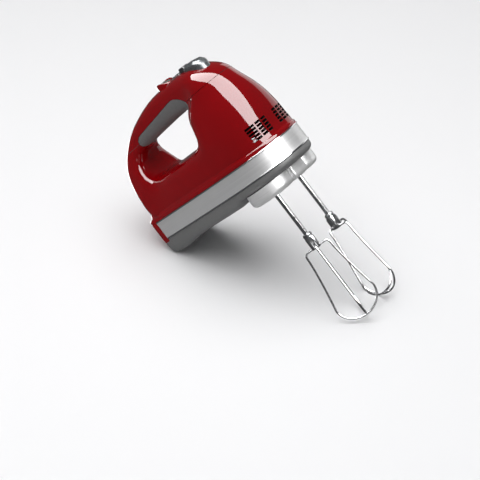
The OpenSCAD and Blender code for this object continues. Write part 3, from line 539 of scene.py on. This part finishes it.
# The bores' walls take slot 1: painted shade in near-black
carve(bm, bores)
place(bm, "socket_plate_skin", "housing", [satin_silver, black_plastic_and_hole_shade], ["socket_plate"])

# ---- Ejector button ----
# A satin grey thumb button on top of the nose. Pressing it pushes both beaters out of their
# sockets; a coil spring round its rod lifts it again.
button_grey = finish("button_grey", (0.11, 0.12, 0.125), 0.35, 0.3, (500, 500, 500), 0.06, 0.08, coat=0.4, coat_rough=0.12)


def smooth_line(spots, x):
    k = max(0, min(len(spots) - 2, sum(1 for s in spots[1:-1] if s[0] <= x)))
    pick = [spots[max(0, min(len(spots) - 1, k + i))] for i in (-1, 0, 1, 2)]
    t = max(0, min(1, (x - pick[1][0]) / (pick[2][0] - pick[1][0])))
    return between([(p[1],) for p in pick], 1 + t)[0]


def eject_top(x):
    return smooth_line([(157, 139.2), (160, 140), (164, 140.2), (169, 139.4), (174, 138), (178, 136.2), (181, 133.6)], x)


bm = bmesh.new()
rings = []
for d, drop in [(0, None), (0, 3.4), (0.1, 2.7), (0.5, 2.1), (1.2, 1.5), (1.9, 1.1), (2.3, 0.75), (2.6, 0.3), (3, 0.05), (3.7, 0),
                (5, 0)]:
    plan = eject_plan(-min(d, 2.6))
    if d > 2.6:
        plan = [(170 + (x - 170) * (1 - (d - 2.6) * 0.14), y * (1 - (d - 2.6) * 0.17)) for x, y in plan]
    rings.append([Vector((x, y, 116.05 if drop is None else eject_top(x) - drop)) for x, y in plan])
loops = loft(bm, rings)
cap(bm, loops[0])
cap(bm, loops[-1])
place(bm, "ejector_cap", "ejector", [button_grey], ["ejector_button"])

# ---- Power and speed buttons ----
# A dark power button behind the ejector, and a grey strip that carries the two speed buttons.
# Each is a moulded cap on a small spring, with softened edges and a shallow dish for the thumb.
dark_cap = finish("dark_cap", (0.03, 0.031, 0.034), 0, 0.34, (600, 600, 600), 0.08, 0.12, coat=0.2, coat_rough=0.2)
strip_grey = finish("strip_grey", (0.2, 0.21, 0.21), 0.3, 0.36, (600, 600, 600), 0.08, 0.08)


def pad(name, body, material, stands_for, x, half_x, half_y, r, steps, hole=()):
    bm = bmesh.new()
    rings = [[Vector((px, py, z)) for px, py in rounded(x, half_x - d, half_y - d, max(0.25, r - d))] for z, d in steps]
    loops = loft(bm, rings)
    cap(bm, loops[0])
    cap(bm, loops[-1])
    # The walls of the holes take slot 1: painted shade in near-black
    if hole:
        carve(bm, list(hole))
    return place(bm, name, body, [material, black_plastic_and_hole_shade], stands_for)


pad("power_cap", "power_button", dark_cap, ["power_button"], 152.2, 4.2, 5.1, 2.4,
    [(132.5, 0), (139.9, 0), (140.6, 0.25), (141.1, 0.8), (141.2, 1.5), (140.9, 2.2), (140.6, 3.2)])
for name, x in [("speed_up", 143.3), ("speed_down", 137.1)]:
    pad(name + "_cap", name + "_button", dark_cap, [name + "_button"], x, 2.2, 3.9, 0.8,
        [(134, 0), (138.2, 0), (138.6, 0.2), (138.8, 0.55), (138.75, 1.1)])
pad("speed_strip", "housing", strip_grey, ["control_strip"], 140.15, 6.65, 5.5, 2,
    [(135.5, 0), (137.5, 0), (137.85, 0.15), (138, 0.5)],
    [column(rounded(x, 2.4, 4.1, 1), 133, 145) for x in (137.1, 143.3)])

# ---- Display ----
# A clear oval window over a small grey-green display, held in a raised red bezel that slopes
# with the top of the handle.
window = finish("display_window", (0.16, 0.2, 0.17), 0, 0.16, (260, 260, 260), 0.02, 0.25, coat=1, coat_rough=0.02)


def bezel_top(x):
    return smooth_line([(105, 138.6), (108, 140), (111, 141.3), (116, 141.9), (121, 141), (126, 138.8), (132, 136)], x)


bm = bmesh.new()
loft(bm, [[Vector((x, y, 131.5 if drop is None else bezel_top(x) - drop)) for x, y in oval(d)] for d, drop in [
    (0.2, None), (0.2, 1.6), (0.28, 0.9), (0.6, 0.3), (1.1, 0.03), (1.6, 0.05), (2.1, 0.3), (2.5, 0.8), (2.7, 1.5), (2.75, None)]],
    closed=True)
place(bm, "display_rim", "housing", [gloss_red], ["display_bezel"])
bm = bmesh.new()
loops = loft(bm, [[Vector((x, y, 134 if drop is None else bezel_top(x) - drop)) for x, y in oval(d)] for d, drop in [
    (2.8, None), (2.8, 1.3), (3.6, 1.0), (5, 0.75), (7, 0.62)]])
cap(bm, loops[0])
cap(bm, loops[-1])
place(bm, "display_glass", "housing", [window], ["display_lens"])

# ---- Beaters ----
# Two beaters of polished stainless steel. Each has a straight shaft, a crimped ferrule and two
# wire loops crossed at right angles; the two beaters stand an eighth of a turn apart to mesh.
polished = finish("polished_wire", (0.62, 0.62, 0.63), 1, 0.13, (30, 30, 500), 0.02, 0.05, rough_spread=0.03)
ferrule_steel = finish("ferrule_steel", (0.5, 0.5, 0.51), 1, 0.2, (40, 40, 900), 0.05, 0.1, rough_spread=0.05)
WIRE, NECK, LOOP_R, DROP = 2, -73, 22, 19.5
LOOP_MID = -153.5 + DROP + WIRE / 2


def loop_line(lift):
    z0 = NECK + WIRE / 2 + 0.3 + lift
    half = [Vector((0, 0, z0)), Vector((5, 0, z0)), Vector((10, 0, z0))]
    half += [Vector((10 + 3.6 * math.sin(a * math.pi / 12), 0, z0 - 3.6 + 3.6 * math.cos(a * math.pi / 12))) for a in range(1, 7)]
    for i in range(1, 12):
        u = i / 12
        half.append(Vector((13.6 + (LOOP_R - 13.6) * u ** 1.35, 0, (z0 - 3.6) * (1 - u) + LOOP_MID * u)))
    half += [Vector((LOOP_R * math.cos(a * math.pi / 40), 0, LOOP_MID - (DROP - lift) * math.sin(a * math.pi / 40)))
             for a in range(21)]
    return half + [Vector((-p.x, 0, p.z)) for p in half[-2:0:-1]]


def wire_loop(name, body, node, s, turn, lift):
    line = loop_line(lift)
    bm = bmesh.new()
    rings = []
    for i, p in enumerate(line):
        t = (line[(i + 1) % len(line)] - line[i - 1]).normalized()
        v = Vector((0, 1, 0)).cross(t)
        rings.append([p + WIRE / 2 * (math.cos(math.pi * j / 8) * Vector((0, 1, 0)) + math.sin(math.pi * j / 8) * v)
                      for j in range(16)])
    loft(bm, rings, closed=True)
    bm.transform(Matrix.Translation((BEATER_X, s * BEATER_Y, 0)) @ Matrix.Rotation(math.radians(turn), 4, "Z"))
    place(bm, name, body, [polished], [node], sharp=60)


for side_name, s, phase in [("right", -1, 45), ("left", 1, 0)]:
    body = "beater_" + side_name
    wire_loop(body + "_wire_a", body, "beater_loop_a_" + side_name, s, phase, 0)
    wire_loop(body + "_wire_b", body, "beater_loop_b_" + side_name, s, phase + 90, WIRE + 0.3)
    # ferrule: a crimped tube with four flats and a rolled collar
    bm = bmesh.new()
    rings = []
    for z, r, square in [(NECK + 0.05, 4.2, 0.2), (NECK + 0.1, 4.9, 0.45), (NECK + 0.9, 5.25, 0.6), (NECK + 9, 5.25, 0.6),
                         (NECK + 12.4, 5.2, 0.5), (NECK + 13.4, 4.6, 0.15), (NECK + 14.4, 4.5, 0), (NECK + 15, 4.95, 0),
                         (NECK + 16, 4.98, 0), (NECK + 16.8, 4.6, 0), (NECK + 17, 3.9, 0), (NECK + 17, 2.55, 0)]:
        ring = []
        for i in range(64):
            a = 2 * math.pi * i / 64
            q = max(abs(math.cos(a)), abs(math.sin(a)))
            g = r * (1 - square * 0.16 * math.cos(4 * a))
            ring.append(Vector((g * math.cos(a), g * math.sin(a), z)))
        rings.append(ring)
    loops = loft(bm, rings)
    cap(bm, loops[0])
    cap(bm, loops[-1])
    bm.transform(Matrix.Translation((BEATER_X, s * BEATER_Y, 0)) @ Matrix.Rotation(math.radians(phase), 4, "Z"))
    place(bm, body + "_collar", body, [ferrule_steel], ["beater_ferrule_" + side_name], sharp=50)
    shaft = frame["nodes"]["beater_shaft_" + side_name]
    shaft.data.materials.clear()
    shaft.data.materials.append(polished)

# ---- Motor, gears and small parts ----
# The universal motor, its worm and the two worm wheels, the spindles and the electronics. They
# are seen only through the vents and the sockets, and each keeps its own metal or moulding.
inner = {
    "charcoal_base": base_charcoal, "grey_plastic": strip_grey, "black_plastic": black_plastic_and_hole_shade,
    "silver_plate": satin_silver, "dark_button": dark_cap,
    "green_board": finish("green_board", (0.02, 0.12, 0.05), 0, 0.4, (900, 900, 900), 0.1, 0.3, coat=0.4),
    "nylon": finish("natural_nylon", (0.68, 0.65, 0.55), 0, 0.45, (500, 500, 500), 0.08, 0.06),
    "lamination": finish("laminations", (0.3, 0.3, 0.31), 1, 0.45, (2200, 20, 20), 0.4, 0.25),
    "copper_wire": finish("enamelled_copper", (0.55, 0.2, 0.07), 0.9, 0.32, (1800, 60, 60), 0.5, 0.25),
    "steel": finish("ground_steel", (0.5, 0.5, 0.51), 1, 0.28, (900, 900, 200), 0.08, 0.1),
    "brass": finish("machined_brass", (0.6, 0.42, 0.16), 1, 0.3, (900, 900, 200), 0.08, 0.1),
    "carbon": finish("pressed_carbon", (0.02, 0.02, 0.02), 0.2, 0.6, (1500, 1500, 1500), 0.3, 0.3),
    "die_cast": finish("die_cast_alloy", (0.42, 0.43, 0.44), 1, 0.5, (700, 700, 700), 0.3, 0.12),
    "seal": finish("rubber_seal", (0.015, 0.015, 0.015), 0, 0.55, (800, 800, 800), 0.15, 0.2),
    "beater_steel": polished}
slots = {p["node"]: p["material_slot"] for p in frame["record"]["subparts"]}
for name, node in frame["nodes"].items():
    if not node.hide_render and slots[name] in inner and not name.startswith("beater_shaft"):
        node.data.materials.clear()
        node.data.materials.append(inner[slots[name]])
